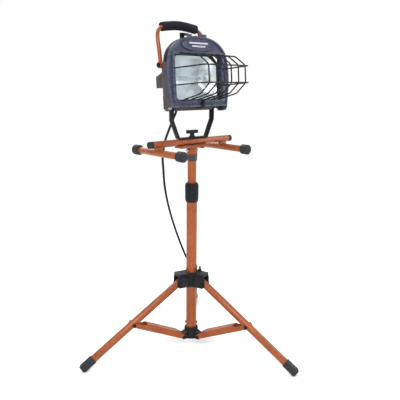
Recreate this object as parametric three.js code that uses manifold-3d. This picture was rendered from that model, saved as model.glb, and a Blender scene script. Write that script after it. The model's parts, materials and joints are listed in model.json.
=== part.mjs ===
// Tripod work light: telescoping mast on three folding legs, with a tilting halogen head on a crossbar.
// Millimetres, +Z up, floor at z = 0, the lamp looks along -Y.
import * as THREE from 'three';
import * as BufferGeometryUtils from 'three/addons/utils/BufferGeometryUtils.js';
import Module from 'manifold-3d';

const wasm = await Module();
wasm.setup();

// Clearance between two pieces that touch, and the round segment counts.
const GAP = 0.35;
const ROUND = 24;
const SMALL_ROUND = 8;

// Legs, braces and hubs.
const LEG_ANGLES = [-73.8, 46.2, 166.2];
const LEG_DIAMETER = 22.2;
const LEG_LENGTH = 352;
const LEG_SLOPE = 33.7;
const LEG_PIVOT_R = 48;
const LEG_PIVOT_Z = 207.5;
const LEG_CAP_DIAMETER = 26;
const BRACE_LENGTH = 179.3;
const BRACE_SLOPE = 24.8;
const BRACE_PIVOT_R = 30;
const BRACE_PIVOT_Z = 35.7;
const BRACE_INNER = 11.75;
const BRACE_OUTER = 13.4;
const RIVET_RADIUS = 3;
const HUB_TOP = 241;
const HUB_PLATE = 7;
const HUB_BOTTOM = 197;
const LOWER_HUB_TOP = 62;
const LOWER_HUB_BOTTOM = 27;
const LEVER_ANGLE = -43;
const LEVER_PIVOT_R = 25.5;
const LEVER_PIVOT_Z = 245.5;

// Mast.
const LOWER_TUBE_DIAMETER = 31.75;
const LOWER_TUBE_WALL = 1.5;
const LOWER_TUBE_BOTTOM = 31;
const LOWER_TUBE_TOP = 500;
const UPPER_TUBE_DIAMETER = 25.4;
const UPPER_TUBE_WALL = 1.5;
const UPPER_TUBE_BOTTOM = 125;
const UPPER_TUBE_TOP = 616;
const COLLAR_BOTTOM = 456;
const COLLAR_SPLIT = 488;
const COLLAR_TOP = 513;
const COLLAR_RADIUS = 20;
const HUB_PIN_Z = 73.8;
const HUB_PIN_ANGLE = -43;

// Crossbar, feet and yoke.
const BAR_DIAMETER = 19.05;
const BAR_Z = 632.4;
const BAR_HALF_LENGTH = 142;
const FOOT_X = 122;
const FOOT_Z = 609;
const FOOT_HALF_LENGTH = 94;
const FOOT_CAP_DIAMETER = 28.5;
const FOOT_CAP_REACH = 108;
const MAST_PLATE_TOP = 622.4;
const CROSS_BOLT_Z = 608;
const TILT_Z = 730;
const TILT_REST = -4.5;
const YOKE_ARM_X = 75.6;
const YOKE_BASE_X = 53.5;
const YOKE_STRAP = 3.2;
const YOKE_WIDTH = 18;
const T_KNOB_TOP = 665;

// Lamp head, in its own frame: origin on the tilt axis, X right, Y back, Z up.
const FRONT_Y = -38;
const OPENING_WIDTH = 174;
const OPENING_HEIGHT = 118;
const OPENING_Z = 79;
const BEZEL_DEPTH = 20;
const GUARD_DEPTH = 106;
const GUARD_WIRE = 3.8;
const GUARD_X = [-67, -40.2, -13.4, 13.4, 40.2, 67];
const HANDLE_ROD = 11;
const GRIP_DIAMETER = 25;
const GRIP_LENGTH = 124;
const LAMP_Y = 2;
const LAMP_TUBE_DIAMETER = 11;
const LAMP_TUBE_LENGTH = 96;

// Lead.
const CORD_DIAMETER = 7;
const HANK_BOTTOM = 506;
const HANK_TOP = 612;
const PLUG_DEPTH = 109.5;
const BEHIND = new THREE.Vector2(0.679, 0.734);

const STEEL = { color: 0x8d9094, roughness: 0.35, metalness: 0.9 };
const COPPER = { color: 0xb8683a, roughness: 0.4, metalness: 0.35 };
const BLACK = { color: 0x1b1c1f, roughness: 0.6, metalness: 0.1 };
const SLATE = { color: 0x474c60, roughness: 0.5, metalness: 0.2 };
const CAST = { color: 0x5d5559, roughness: 0.6, metalness: 0.3 };
const CAP = { color: 0x3b3d40, roughness: 0.85, metalness: 0.0 };
const RUBBER = { color: 0x101113, roughness: 0.9, metalness: 0.0 };
const MIRROR = { color: 0xe4e8ea, roughness: 0.15, metalness: 0.95 };
const GLASS = { color: 0xdbe9f2, roughness: 0.05, metalness: 0.0 };
const CERAMIC = { color: 0xe8e4da, roughness: 0.7, metalness: 0.0 };

// ---- solids ----

function weld(geometry) {
  const bare = geometry.clone();
  bare.deleteAttribute('normal');
  bare.deleteAttribute('uv');
  return BufferGeometryUtils.mergeVertices(bare, 1e-4);
}

function toManifold(geometry) {
  const welded = weld(geometry);
  const mesh = new wasm.Mesh({
    numProp: 3,
    vertProperties: new Float32Array(welded.attributes.position.array),
    triVerts: new Uint32Array(welded.index.array),
  });
  return new wasm.Manifold(mesh);
}

function fromManifold(solid) {
  const mesh = solid.getMesh();
  const geometry = new THREE.BufferGeometry();
  geometry.setAttribute('position', new THREE.BufferAttribute(new Float32Array(mesh.vertProperties), 3));
  geometry.setIndex(new THREE.BufferAttribute(new Uint32Array(mesh.triVerts), 1));
  return geometry;
}

function signedVolume(geometry) {
  const at = geometry.attributes.position;
  const index = geometry.index;
  const [a, b, c] = [new THREE.Vector3(), new THREE.Vector3(), new THREE.Vector3()];
  let sum = 0;
  for (let i = 0; i < index.count; i += 3) {
    a.fromBufferAttribute(at, index.getX(i));
    b.fromBufferAttribute(at, index.getX(i + 1));
    c.fromBufferAttribute(at, index.getX(i + 2));
    sum += a.dot(b.cross(c));
  }
  return sum / 6;
}

function outward(geometry) {
  const welded = weld(geometry);
  if (signedVolume(welded) < 0) {
    const index = welded.index.array;
    for (let i = 0; i < index.length; i += 3) {
      [index[i], index[i + 1]] = [index[i + 1], index[i]];
    }
  }
  return welded;
}

function join(...pieces) {
  const solids = pieces.map((piece) => toManifold(outward(piece)));
  return fromManifold(solids.reduce((whole, piece) => whole.add(piece)));
}

function cut(piece, ...tools) {
  let solid = toManifold(outward(piece));
  for (const tool of tools) {
    solid = solid.subtract(toManifold(outward(tool)));
  }
  return fromManifold(solid);
}

function common(first, second) {
  return fromManifold(toManifold(outward(first)).intersect(toManifold(outward(second))));
}

function box(x0, x1, y0, y1, z0, z1) {
  const geometry = new THREE.BoxGeometry(x1 - x0, y1 - y0, z1 - z0);
  return geometry.translate((x0 + x1) / 2, (y0 + y1) / 2, (z0 + z1) / 2);
}

// Solid round bar between two points.
function rod(radius, from, to, segments = ROUND) {
  const start = new THREE.Vector3(...from);
  const along = new THREE.Vector3(...to).sub(start);
  const geometry = new THREE.CylinderGeometry(radius, radius, along.length(), segments);
  geometry.translate(0, along.length() / 2, 0);
  const turn = new THREE.Quaternion().setFromUnitVectors(new THREE.Vector3(0, 1, 0), along.normalize());
  return geometry.applyQuaternion(turn).translate(start.x, start.y, start.z);
}

// Profile of [radius, z] pairs turned about the Z axis; it closes on itself or ends on the axis.
function turned(profile, segments = ROUND) {
  const points = profile.map(([radius, z]) => new THREE.Vector2(radius, z));
  if (profile[0][0] > 0) {
    points.push(points[0].clone());
  }
  return new THREE.LatheGeometry(points, segments).rotateX(Math.PI / 2);
}

function tube(outer, inner, z0, z1, segments = ROUND) {
  return turned([[inner, z0], [outer, z0], [outer, z1], [inner, z1]], segments);
}

function roundedShape(width, height, radius) {
  const shape = new THREE.Shape();
  const [w, h] = [width / 2, height / 2];
  shape.absarc(w - radius, h - radius, radius, 0, Math.PI / 2);
  shape.absarc(radius - w, h - radius, radius, Math.PI / 2, Math.PI);
  shape.absarc(radius - w, radius - h, radius, Math.PI, Math.PI * 1.5);
  shape.absarc(w - radius, radius - h, radius, Math.PI * 1.5, Math.PI * 2);
  return shape;
}

function polygon(points) {
  return new THREE.Shape(points.map(([x, y]) => new THREE.Vector2(x, y)));
}

function slab(shape, depth, curveSegments = 5) {
  return new THREE.ExtrudeGeometry(shape, { depth, bevelEnabled: false, curveSegments });
}

// A shape drawn in X and Z, made solid from y0 to y1.
function upright(shape, y0, y1, curveSegments = 5) {
  return slab(shape, y1 - y0, curveSegments).rotateX(Math.PI / 2).translate(0, y1, 0);
}

// Round section carried along a curve.
function sweep(curve, radius, steps, sides = 10) {
  const section = new THREE.Shape();
  section.absarc(0, 0, radius, 0, Math.PI * 2);
  return new THREE.ExtrudeGeometry(section, {
    extrudePath: curve,
    steps,
    bevelEnabled: false,
    curveSegments: Math.round(sides / 2),
  });
}

function smooth(points, tension = 0.5) {
  const through = points.map(([x, y, z]) => new THREE.Vector3(x, y, z));
  return new THREE.CatmullRomCurve3(through, false, 'catmullrom', tension);
}

// Wire bent in one flat plane, mitred at each bend; the normal is square to that plane.
function bentWire(points, normal, radius, sides = 6) {
  const at = points.map((point) => new THREE.Vector3(...point));
  const rings = at.map((point, i) => {
    const before = at[Math.max(i - 1, 0)];
    const after = at[Math.min(i + 1, at.length - 1)];
    const into = (i > 0 ? point : after).clone().sub(i > 0 ? before : point).normalize();
    const out = (i < at.length - 1 ? after : point).clone().sub(i < at.length - 1 ? point : before).normalize();
    const along = into.clone().add(out).normalize();
    const across = along.clone().cross(normal).normalize().divideScalar(along.dot(into));
    const ring = [];
    for (let k = 0; k < sides; k += 1) {
      const angle = (k + 0.5) * Math.PI * 2 / sides;
      const spot = point.clone().addScaledVector(across, radius * Math.cos(angle));
      ring.push(spot.addScaledVector(normal, radius * Math.sin(angle)).toArray());
    }
    return ring;
  });
  return skin(rings);
}

function polar(radius, degrees, z) {
  const angle = THREE.MathUtils.degToRad(degrees);
  return [radius * Math.cos(angle), radius * Math.sin(angle), z];
}

function spin(geometry, degrees) {
  return geometry.clone().rotateZ(THREE.MathUtils.degToRad(degrees));
}

function add(group, name, geometry, look) {
  const shown = outward(geometry).toNonIndexed();
  shown.computeVertexNormals();
  const mesh = new THREE.Mesh(weldForShow(shown), new THREE.MeshStandardMaterial(look));
  mesh.name = name;
  group.add(mesh);
  return mesh;
}

function weldForShow(geometry) {
  geometry.deleteAttribute('normal');
  const welded = BufferGeometryUtils.mergeVertices(geometry, 1e-4);
  welded.computeVertexNormals();
  return welded;
}

// ---- mast ----

function mastPin(reach) {
  const shaft = rod(2.5, [-reach, 0, HUB_PIN_Z], [reach, 0, HUB_PIN_Z], SMALL_ROUND);
  const left = rod(4.2, [-reach, 0, HUB_PIN_Z], [2.6 - reach, 0, HUB_PIN_Z], SMALL_ROUND);
  const right = rod(4.2, [reach - 2.6, 0, HUB_PIN_Z], [reach, 0, HUB_PIN_Z], SMALL_ROUND);
  return spin(join(shaft, left, right), HUB_PIN_ANGLE);
}

function lowerTube() {
  const outer = LOWER_TUBE_DIAMETER / 2;
  const body = tube(outer, outer - LOWER_TUBE_WALL, LOWER_TUBE_BOTTOM, LOWER_TUBE_TOP, 28);
  return cut(body, spin(rod(2.5 + GAP, [-30, 0, HUB_PIN_Z], [30, 0, HUB_PIN_Z], SMALL_ROUND), HUB_PIN_ANGLE));
}

function collarBase() {
  const bore = LOWER_TUBE_DIAMETER / 2 + GAP;
  const profile = [[bore, COLLAR_BOTTOM], [17.6, COLLAR_BOTTOM], [19.2, COLLAR_BOTTOM + 4],
    [COLLAR_RADIUS, COLLAR_BOTTOM + 10], [COLLAR_RADIUS, COLLAR_SPLIT], [bore, COLLAR_SPLIT]];
  return turned(profile, 28);
}

// Turning ring with flutes for the fingers.
function collarRing() {
  const bottom = COLLAR_SPLIT + GAP;
  const step = LOWER_TUBE_TOP + GAP;
  const wide = LOWER_TUBE_DIAMETER / 2 + GAP;
  const narrow = UPPER_TUBE_DIAMETER / 2 + GAP;
  const profile = [[wide, bottom], [COLLAR_RADIUS, bottom], [COLLAR_RADIUS, COLLAR_TOP - 8],
    [18.6, COLLAR_TOP - 3], [16.2, COLLAR_TOP], [narrow, COLLAR_TOP], [narrow, step], [wide, step]];
  const flutes = [];
  for (let i = 0; i < 12; i += 1) {
    const low = polar(COLLAR_RADIUS + 0.8, i * 30, bottom + 3);
    const high = polar(COLLAR_RADIUS + 0.8, i * 30, COLLAR_TOP + 1);
    flutes.push(rod(1.8, low, high, 8));
  }
  return cut(turned(profile, 36), ...flutes);
}

function upperTube() {
  const outer = UPPER_TUBE_DIAMETER / 2;
  const body = tube(outer, outer - UPPER_TUBE_WALL, UPPER_TUBE_BOTTOM, UPPER_TUBE_TOP, 24);
  return cut(body, rod(3 + GAP, [-30, 0, CROSS_BOLT_Z], [30, 0, CROSS_BOLT_Z], SMALL_ROUND));
}

// Plastic foot of the upper tube that guides it in the lower one.
function bushing() {
  const spigot = UPPER_TUBE_DIAMETER / 2 - UPPER_TUBE_WALL - GAP;
  const guide = LOWER_TUBE_DIAMETER / 2 - LOWER_TUBE_WALL - GAP;
  const base = UPPER_TUBE_BOTTOM - GAP;
  const profile = [[0, base - 7], [guide, base - 7], [guide, base], [spigot, base], [spigot, base + 22],
    [0, base + 22]];
  return turned(profile, 24);
}

// ---- hubs ----

function lobeShape(reach, half) {
  return polygon([[0, -half], [reach - 4, -half], [reach, -half + 4], [reach, half - 4],
    [reach - 4, half], [0, half]]);
}

// Two cheeks that hold one leg, along +X.
function legCheeks() {
  const inner = LEG_DIAMETER / 2 + 0.55;
  const outer = inner + 3;
  const side = polygon([[17, HUB_BOTTOM], [47, HUB_BOTTOM], [53, HUB_BOTTOM + 6], [53, HUB_TOP - 12],
    [49, HUB_TOP - 3], [17, HUB_TOP - 3]]);
  const near = upright(side, inner, outer);
  const far = upright(side, -outer, -inner);
  const bore = rod(RIVET_RADIUS + GAP, [LEG_PIVOT_R, -20, LEG_PIVOT_Z], [LEG_PIVOT_R, 20, LEG_PIVOT_Z],
    SMALL_ROUND);
  return cut(join(near, far), bore);
}

function leverEars() {
  const side = polygon([[18, HUB_TOP - 4], [31, HUB_TOP - 4], [31, HUB_TOP + 2], [28, HUB_TOP + 7],
    [23, HUB_TOP + 7], [18, HUB_TOP]]);
  const near = upright(side, 4.4, 6.6);
  const far = upright(side, -6.6, -4.4);
  const bore = rod(1.8 + GAP, [LEVER_PIVOT_R, -10, LEVER_PIVOT_Z], [LEVER_PIVOT_R, 10, LEVER_PIVOT_Z], 12);
  return cut(join(near, far), bore);
}

function upperHub() {
  const bore = LOWER_TUBE_DIAMETER / 2 + GAP;
  const pieces = [tube(21, bore - 1, HUB_BOTTOM, HUB_TOP, 28)];
  for (const angle of LEG_ANGLES) {
    const lobe = slab(lobeShape(52, 17.4), HUB_PLATE).translate(0, 0, HUB_TOP - HUB_PLATE);
    pieces.push(spin(lobe, angle));
    pieces.push(spin(legCheeks(), angle));
  }
  const windows = spin(leverEars(), LEVER_ANGLE);
  const sleeve = rod(bore, [0, 0, HUB_BOTTOM - 5], [0, 0, HUB_TOP + 5], 28);
  return cut(join(...pieces, windows), sleeve);
}

function lockLever() {
  const paddle = upright(polygon([[23.4, HUB_TOP + 0.6], [27.6, HUB_TOP + 0.6], [28.6, HUB_TOP + 4],
    [26.8, HUB_TOP + 9], [28.4, HUB_TOP + 11], [28.4, HUB_TOP + 15], [22.6, HUB_TOP + 15],
    [22.6, HUB_TOP + 11], [24.2, HUB_TOP + 9], [22.4, HUB_TOP + 4]]), -4, 4);
  const pin = rod(1.8, [LEVER_PIVOT_R, -8, LEVER_PIVOT_Z], [LEVER_PIVOT_R, 8, LEVER_PIVOT_Z], 12);
  return spin(join(paddle, pin), LEVER_ANGLE);
}

function lowerHub() {
  const bore = LOWER_TUBE_DIAMETER / 2 + GAP;
  const floor = LOWER_TUBE_BOTTOM - GAP;
  const socket = turned([[0, LOWER_HUB_BOTTOM], [21.3, LOWER_HUB_BOTTOM], [21.3, LOWER_HUB_TOP - 4],
    [19, LOWER_HUB_TOP], [bore, LOWER_HUB_TOP], [bore, floor], [0, floor]], 28);
  const pieces = [socket];
  for (const angle of LEG_ANGLES) {
    const side = polygon([[18.5, LOWER_HUB_BOTTOM], [33, LOWER_HUB_BOTTOM], [36, 31], [36, 40],
      [32, 44], [18.5, 50]]);
    const bored = cut(upright(side, -11, 11), rod(RIVET_RADIUS + GAP, [BRACE_PIVOT_R, -20, BRACE_PIVOT_Z],
      [BRACE_PIVOT_R, 20, BRACE_PIVOT_Z], SMALL_ROUND));
    pieces.push(spin(bored, angle));
  }
  return join(...pieces);
}

// ---- legs and braces, built along +X and spun into place ----

function legEnd(distance) {
  const slope = THREE.MathUtils.degToRad(LEG_SLOPE);
  return [LEG_PIVOT_R + distance * Math.cos(slope), 0, LEG_PIVOT_Z - distance * Math.sin(slope)];
}

function legTube() {
  const outer = LEG_DIAMETER / 2;
  const body = rod(outer, legEnd(-9), legEnd(LEG_LENGTH - 6), 16);
  const bore = rod(outer - 1.4, legEnd(-12), legEnd(LEG_LENGTH), 16);
  const half = outer + 3.9;
  const rivet = rod(RIVET_RADIUS, [LEG_PIVOT_R, -half, LEG_PIVOT_Z], [LEG_PIVOT_R, half, LEG_PIVOT_Z],
    SMALL_ROUND);
  const near = rod(4.8, [LEG_PIVOT_R, half, LEG_PIVOT_Z], [LEG_PIVOT_R, half + 2, LEG_PIVOT_Z],
    SMALL_ROUND);
  const far = rod(4.8, [LEG_PIVOT_R, -half - 2, LEG_PIVOT_Z], [LEG_PIVOT_R, -half, LEG_PIVOT_Z],
    SMALL_ROUND);
  return join(cut(body, bore), rivet, near, far);
}

// Rubber foot: a cup round the leg's end, cut flat on the floor.
function legCap() {
  const radius = LEG_CAP_DIAMETER / 2;
  const cup = join(rod(radius, legEnd(LEG_LENGTH - 34), legEnd(LEG_LENGTH + 5), 20),
    rod(radius - 3, legEnd(LEG_LENGTH), legEnd(LEG_LENGTH + 9), 20));
  const bore = rod(LEG_DIAMETER / 2 + GAP, legEnd(LEG_LENGTH - 36), legEnd(LEG_LENGTH - 5.6), 16);
  return cut(cup, bore, box(200, 500, -60, 60, -60, 0));
}

function braceFlange() {
  const reach = BRACE_LENGTH;
  return polygon([[-7, -4], [-4, -6.5], [reach + 4, -6.5], [reach + 8, -3], [reach + 8, 3],
    [reach + 4, 7], [reach - 34, 7], [reach - 43, 12.7], [26, 12.7], [4, 7.5], [-4, 6], [-7, 3]]);
}

function brace() {
  const near = upright(braceFlange(), BRACE_INNER, BRACE_OUTER);
  const far = upright(braceFlange(), -BRACE_OUTER, -BRACE_INNER);
  const web = box(26, BRACE_LENGTH - 43, -BRACE_OUTER, BRACE_OUTER, 11.2, 12.7);
  const pivot = rod(RIVET_RADIUS, [0, -BRACE_OUTER - 1.8, 0], [0, BRACE_OUTER + 1.8, 0], SMALL_ROUND);
  const pieces = [near, far, web, pivot];
  for (const side of [-1, 1]) {
    const inner = side * (BRACE_OUTER - 0.5);
    const outer = side * (BRACE_OUTER + 1.8);
    pieces.push(rod(4.8, [0, inner, 0], [0, outer, 0], SMALL_ROUND));
    pieces.push(rod(4.8, [BRACE_LENGTH, inner, 0], [BRACE_LENGTH, outer, 0], SMALL_ROUND));
  }
  const whole = join(...pieces).rotateY(-THREE.MathUtils.degToRad(BRACE_SLOPE));
  return whole.translate(BRACE_PIVOT_R, 0, BRACE_PIVOT_Z);
}

// ---- crossbar ----

// Pressed bracket that sits on the tube and carries the crossbar.
function mastPlate() {
  const under = BAR_Z - BAR_DIAMETER / 2 - GAP;
  const plate = box(-52, 52, -15, 15, UPPER_TUBE_TOP + GAP, under);
  const skirt = rod(15.4, [0, 0, 598], [0, 0, under - 0.5], 24);
  const bore = rod(UPPER_TUBE_DIAMETER / 2 + GAP, [0, 0, 590], [0, 0, UPPER_TUBE_TOP + GAP], 24);
  const bolt = rod(3 + GAP, [-30, 0, CROSS_BOLT_Z], [30, 0, CROSS_BOLT_Z], SMALL_ROUND);
  const down = rod(4 + GAP, [0, 0, 600], [0, 0, 640], SMALL_ROUND);
  return cut(join(plate, skirt), bore, bolt, down);
}

function crossBolt() {
  const shaft = rod(3, [-19, 0, CROSS_BOLT_Z], [19, 0, CROSS_BOLT_Z], SMALL_ROUND);
  const head = rod(5.2, [-19.4, 0, CROSS_BOLT_Z], [-15.8, 0, CROSS_BOLT_Z], 6);
  const nut = rod(5.2, [15.8, 0, CROSS_BOLT_Z], [19.4, 0, CROSS_BOLT_Z], 6);
  return join(shaft, head, nut);
}

function crossbar() {
  const radius = BAR_DIAMETER / 2;
  const body = rod(radius, [-BAR_HALF_LENGTH, 0, BAR_Z], [BAR_HALF_LENGTH, 0, BAR_Z], 20);
  const bore = rod(radius - 1.4, [-BAR_HALF_LENGTH - 5, 0, BAR_Z], [BAR_HALF_LENGTH + 5, 0, BAR_Z], 20);
  const bolt = rod(4 + GAP, [0, 0, BAR_Z - 30], [0, 0, BAR_Z + 30], SMALL_ROUND);
  return cut(body, bore, bolt);
}

function barPlug(side) {
  const radius = BAR_DIAMETER / 2;
  const end = side * (BAR_HALF_LENGTH + GAP);
  const disc = rod(radius, [end, 0, BAR_Z], [end + side * 12, 0, BAR_Z], 20);
  const spigot = rod(radius - 1.4 - GAP, [end + side, 0, BAR_Z], [end - side * 14, 0, BAR_Z], 20);
  return join(disc, spigot);
}

// Foot tube along Y with the saddle that holds the crossbar above it.
function foot(side) {
  const x = side * FOOT_X;
  const radius = BAR_DIAMETER / 2;
  const body = rod(radius, [x, -FOOT_HALF_LENGTH, FOOT_Z], [x, FOOT_HALF_LENGTH, FOOT_Z], 20);
  const bore = rod(radius - 1.4, [x, -FOOT_HALF_LENGTH - 5, FOOT_Z], [x, FOOT_HALF_LENGTH + 5, FOOT_Z], 20);
  const saddle = box(x - 11, x + 11, -6, 6, FOOT_Z + radius - 2.4, BAR_Z - 3);
  const seat = rod(radius + GAP, [x - 20, 0, BAR_Z], [x + 20, 0, BAR_Z], 20);
  return cut(join(cut(body, bore), cut(saddle, seat)), bore);
}

function footCap(sideX, sideY) {
  const x = sideX * FOOT_X;
  const radius = FOOT_CAP_DIAMETER / 2;
  const start = sideY * (FOOT_CAP_REACH - 24);
  const end = sideY * FOOT_CAP_REACH;
  const cup = join(rod(radius, [x, start, FOOT_Z], [x, end - sideY * 3, FOOT_Z], 20),
    rod(radius - 3, [x, end - sideY * 4, FOOT_Z], [x, end, FOOT_Z], 20));
  const stop = sideY * (FOOT_HALF_LENGTH + GAP);
  return cut(cup, rod(BAR_DIAMETER / 2 + GAP, [x, start - sideY, FOOT_Z], [x, stop, FOOT_Z], 20));
}

// ---- yoke ----

function strapSection(points) {
  return upright(polygon(points), -YOKE_WIDTH / 2, YOKE_WIDTH / 2);
}

// Flat strap bent into a cradle: base, two slanted sides and two upright arms.
function yoke() {
  const low = BAR_Z + BAR_DIAMETER / 2 + GAP;
  const t = YOKE_STRAP;
  const outer = [[-YOKE_BASE_X, low], [YOKE_BASE_X, low], [YOKE_ARM_X + t / 2, 694],
    [YOKE_ARM_X + t / 2, TILT_Z + 10], [YOKE_ARM_X - t / 2, TILT_Z + 10], [YOKE_ARM_X - t / 2, 694.6],
    [YOKE_BASE_X - 1.6, low + t], [1.6 - YOKE_BASE_X, low + t], [t / 2 - YOKE_ARM_X, 694.6],
    [t / 2 - YOKE_ARM_X, TILT_Z + 10], [-t / 2 - YOKE_ARM_X, TILT_Z + 10], [-t / 2 - YOKE_ARM_X, 694]];
  const down = rod(4 + GAP, [0, 0, low - 5], [0, 0, low + 10], SMALL_ROUND);
  const across = rod(4 + GAP, [-100, 0, TILT_Z], [100, 0, TILT_Z], SMALL_ROUND);
  return cut(strapSection(outer), down, across);
}

// Wing knob that clamps the cradle to the crossbar, with its bolt down through both.
function tKnob() {
  const seat = BAR_Z + BAR_DIAMETER / 2 + GAP + YOKE_STRAP + GAP;
  const top = T_KNOB_TOP;
  const wings = slab(roundedShape(41, 13, 6), 9).translate(0, 0, top - 9);
  const stem = turned([[0, seat], [9, seat], [9, seat + 2], [6.5, seat + 4], [6.5, top - 6], [0, top - 6]], 20);
  const bolt = rod(4, [0, 0, 618], [0, 0, top - 4], SMALL_ROUND);
  return join(wings, stem, bolt);
}

function tiltKnob() {
  const inner = YOKE_ARM_X + YOKE_STRAP / 2 + GAP;
  const bolt = rod(4, [inner - 6, 0, TILT_Z], [113, 0, TILT_Z], SMALL_ROUND);
  const washer = rod(8.5, [inner, 0, TILT_Z], [inner + 2, 0, TILT_Z], 20);
  const neck = rod(6.5, [inner + 1, 0, TILT_Z], [107, 0, TILT_Z], 20);
  const grip = rod(14, [106, 0, TILT_Z], [126, 0, TILT_Z], 24);
  const crown = rod(11, [125, 0, TILT_Z], [129.5, 0, TILT_Z], 16);
  const flutes = [];
  for (let i = 0; i < 7; i += 1) {
    const angle = i * Math.PI * 2 / 7;
    const [y, z] = [16.5 * Math.cos(angle), TILT_Z + 16.5 * Math.sin(angle)];
    flutes.push(rod(4.6, [104, y, z], [132, y, z], 12));
  }
  return cut(join(bolt, washer, neck, grip, crown), ...flutes);
}

function pivotBolt() {
  const inner = YOKE_ARM_X + YOKE_STRAP / 2 + GAP;
  const bolt = rod(4, [6 - inner, 0, TILT_Z], [-inner - 3, 0, TILT_Z], SMALL_ROUND);
  return join(bolt, rod(7.5, [-inner, 0, TILT_Z], [-inner - 5, 0, TILT_Z], 6));
}

// ---- lamp head, in its own frame ----

const DOOR_BACK = FRONT_Y + BEZEL_DEPTH - GAP;
const RIM_FRONT = FRONT_Y + 7 + GAP;
const RIM_BACK = -14;
const HOUSING_BACK = 42;
const WALL = 3;
const HINGE_Y = -18;
const HINGE_Z = 192;
const BOX_BACK = 78;

// Rectangle with cut corners, one ring of the tapered housing; the top corners may be cut more.
function ringPoints(halfWidth, low, high, corner, y, topCorner = corner) {
  return [[-halfWidth + corner, y, low], [halfWidth - corner, y, low], [halfWidth, y, low + corner],
    [halfWidth, y, high - topCorner], [halfWidth - topCorner, y, high], [-halfWidth + topCorner, y, high],
    [-halfWidth, y, high - topCorner], [-halfWidth, y, low + corner]];
}

// Closed skin through rings of eight points.
function skin(rings) {
  const points = rings.flat();
  const count = rings[0].length;
  const index = [];
  for (let ring = 0; ring < rings.length - 1; ring += 1) {
    for (let i = 0; i < count; i += 1) {
      const a = ring * count + i;
      const b = ring * count + ((i + 1) % count);
      index.push(a, b, a + count, b, b + count, a + count);
    }
  }
  const last = (rings.length - 1) * count;
  for (let i = 1; i < count - 1; i += 1) {
    index.push(0, i + 1, i, last, last + i, last + i + 1);
  }
  const geometry = new THREE.BufferGeometry();
  geometry.setAttribute('position', new THREE.Float32BufferAttribute(points.flat(), 3));
  geometry.setIndex(index);
  return geometry;
}

// Arched outline of the front, shrunk by an inset and starting at a given height.
function archShape(inset, bottom) {
  const side = [[96, -1], [106, 26], [111.5, 64], [110.5, 110], [98, 150], [60, 177.5], [0, 187]];
  const kept = side.map(([x, z]) => [x * (1 - inset / 111), z - (z > 60 ? inset : 0)])
    .filter(([, z]) => z > bottom);
  const right = [[kept[0][0] - 4, bottom], ...kept];
  const left = right.slice(0, -1).reverse().map(([x, z]) => [-x, z]);
  const shape = new THREE.Shape();
  shape.moveTo(-right[0][0], bottom);
  shape.lineTo(right[0][0], bottom);
  shape.splineThru([...right.slice(1), ...left].map(([x, z]) => new THREE.Vector2(x, z)));
  return shape;
}

function openingBlock(width, height, y0, y1) {
  return upright(roundedShape(width, height, 7), y0, y1).translate(0, 0, OPENING_Z);
}

function knuckle(x0, x1, webFrom, webTo) {
  const barrel = rod(4, [x0, HINGE_Y, HINGE_Z], [x1, HINGE_Y, HINGE_Z], 16);
  return join(barrel, box(x0, x1, webFrom, webTo, 172, HINGE_Z - 1));
}

// Arched rim between the door and the body, with the hinge knuckles the door turns on.
function housingRim() {
  const slab = upright(archShape(1, -1), RIM_FRONT, RIM_BACK, 4);
  const pieces = [slab];
  const bores = [openingBlock(OPENING_WIDTH + 17.5, OPENING_HEIGHT + 21, RIM_FRONT - 2, DOOR_BACK + 1),
    openingBlock(OPENING_WIDTH + 2, OPENING_HEIGHT + 2, RIM_FRONT, RIM_BACK + 2)];
  for (const side of [-1, 1]) {
    pieces.push(knuckle(side * 34.4, side * 46, HINGE_Y - 2, RIM_BACK));
    pieces.push(rod(1.8, [side * 22, HINGE_Y, HINGE_Z], [side * 45, HINGE_Y, HINGE_Z], 12));
  }
  return cut(join(...pieces), ...bores);
}

// Tapered body: wide above the yoke's arms, narrow between them.
function housing() {
  const front = RIM_BACK + GAP;
  const back = HOUSING_BACK;
  const upper = skin([ringPoints(92, 15, 148, 6, front, 30), ringPoints(69, 15, 136, 6, back, 24)]);
  const lower = skin([ringPoints(72, -10, 40, 8, -11), ringPoints(70, -10, 40, 8, back)]);
  const upperHollow = skin([ringPoints(89, 18, 145, 5, front - 1, 29),
    ringPoints(66, 18, 133, 5, back - WALL, 22)]);
  const lowerHollow = skin([ringPoints(69, -7, 37, 6, -8), ringPoints(67, -7, 37, 6, back - WALL)]);
  const pieces = [upper, lower];
  const bores = [upperHollow, lowerHollow, rod(5, [0, 30, 79], [0, 50, 79], 16)];
  for (const side of [-1, 1]) {
    pieces.push(rod(9, [side * 64, 0, 0], [side * 73.4, 0, 0], 20));
    pieces.push(rod(7, [side * 76, 21, 114], [side * 81.8, 21, 114], 20));
    bores.push(rod(4 + GAP, [side * 60, 0, 0], [side * 80, 0, 0], SMALL_ROUND));
    bores.push(rod(2.5 + GAP, [side * 58, 21, 114], [side * 90, 21, 114], 12));
  }
  return cut(join(...pieces), ...bores);
}

// Bright dished sheet behind the lamp, open at the front.
function reflector() {
  const dish = (grow) => skin([ringPoints(84 + grow, 22 - grow, 136 + grow, 6, -13.2 - (grow ? 0 : 1), 24),
    ringPoints(70 + grow, 34 - grow, 124 + grow, 6, 12, 22),
    ringPoints(58 + grow, 64 - grow, 94 + grow, 6, 33 + grow)]);
  return cut(dish(1.4), dish(0));
}

function lampTube() {
  const half = LAMP_TUBE_LENGTH / 2;
  const body = rod(LAMP_TUBE_DIAMETER / 2, [-half, LAMP_Y, OPENING_Z], [half, LAMP_Y, OPENING_Z], 20);
  const pinch = box(-half - 8, half + 8, LAMP_Y - 3.5, LAMP_Y + 3.5, OPENING_Z - 1.4, OPENING_Z + 1.4);
  return join(body, pinch);
}

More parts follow.
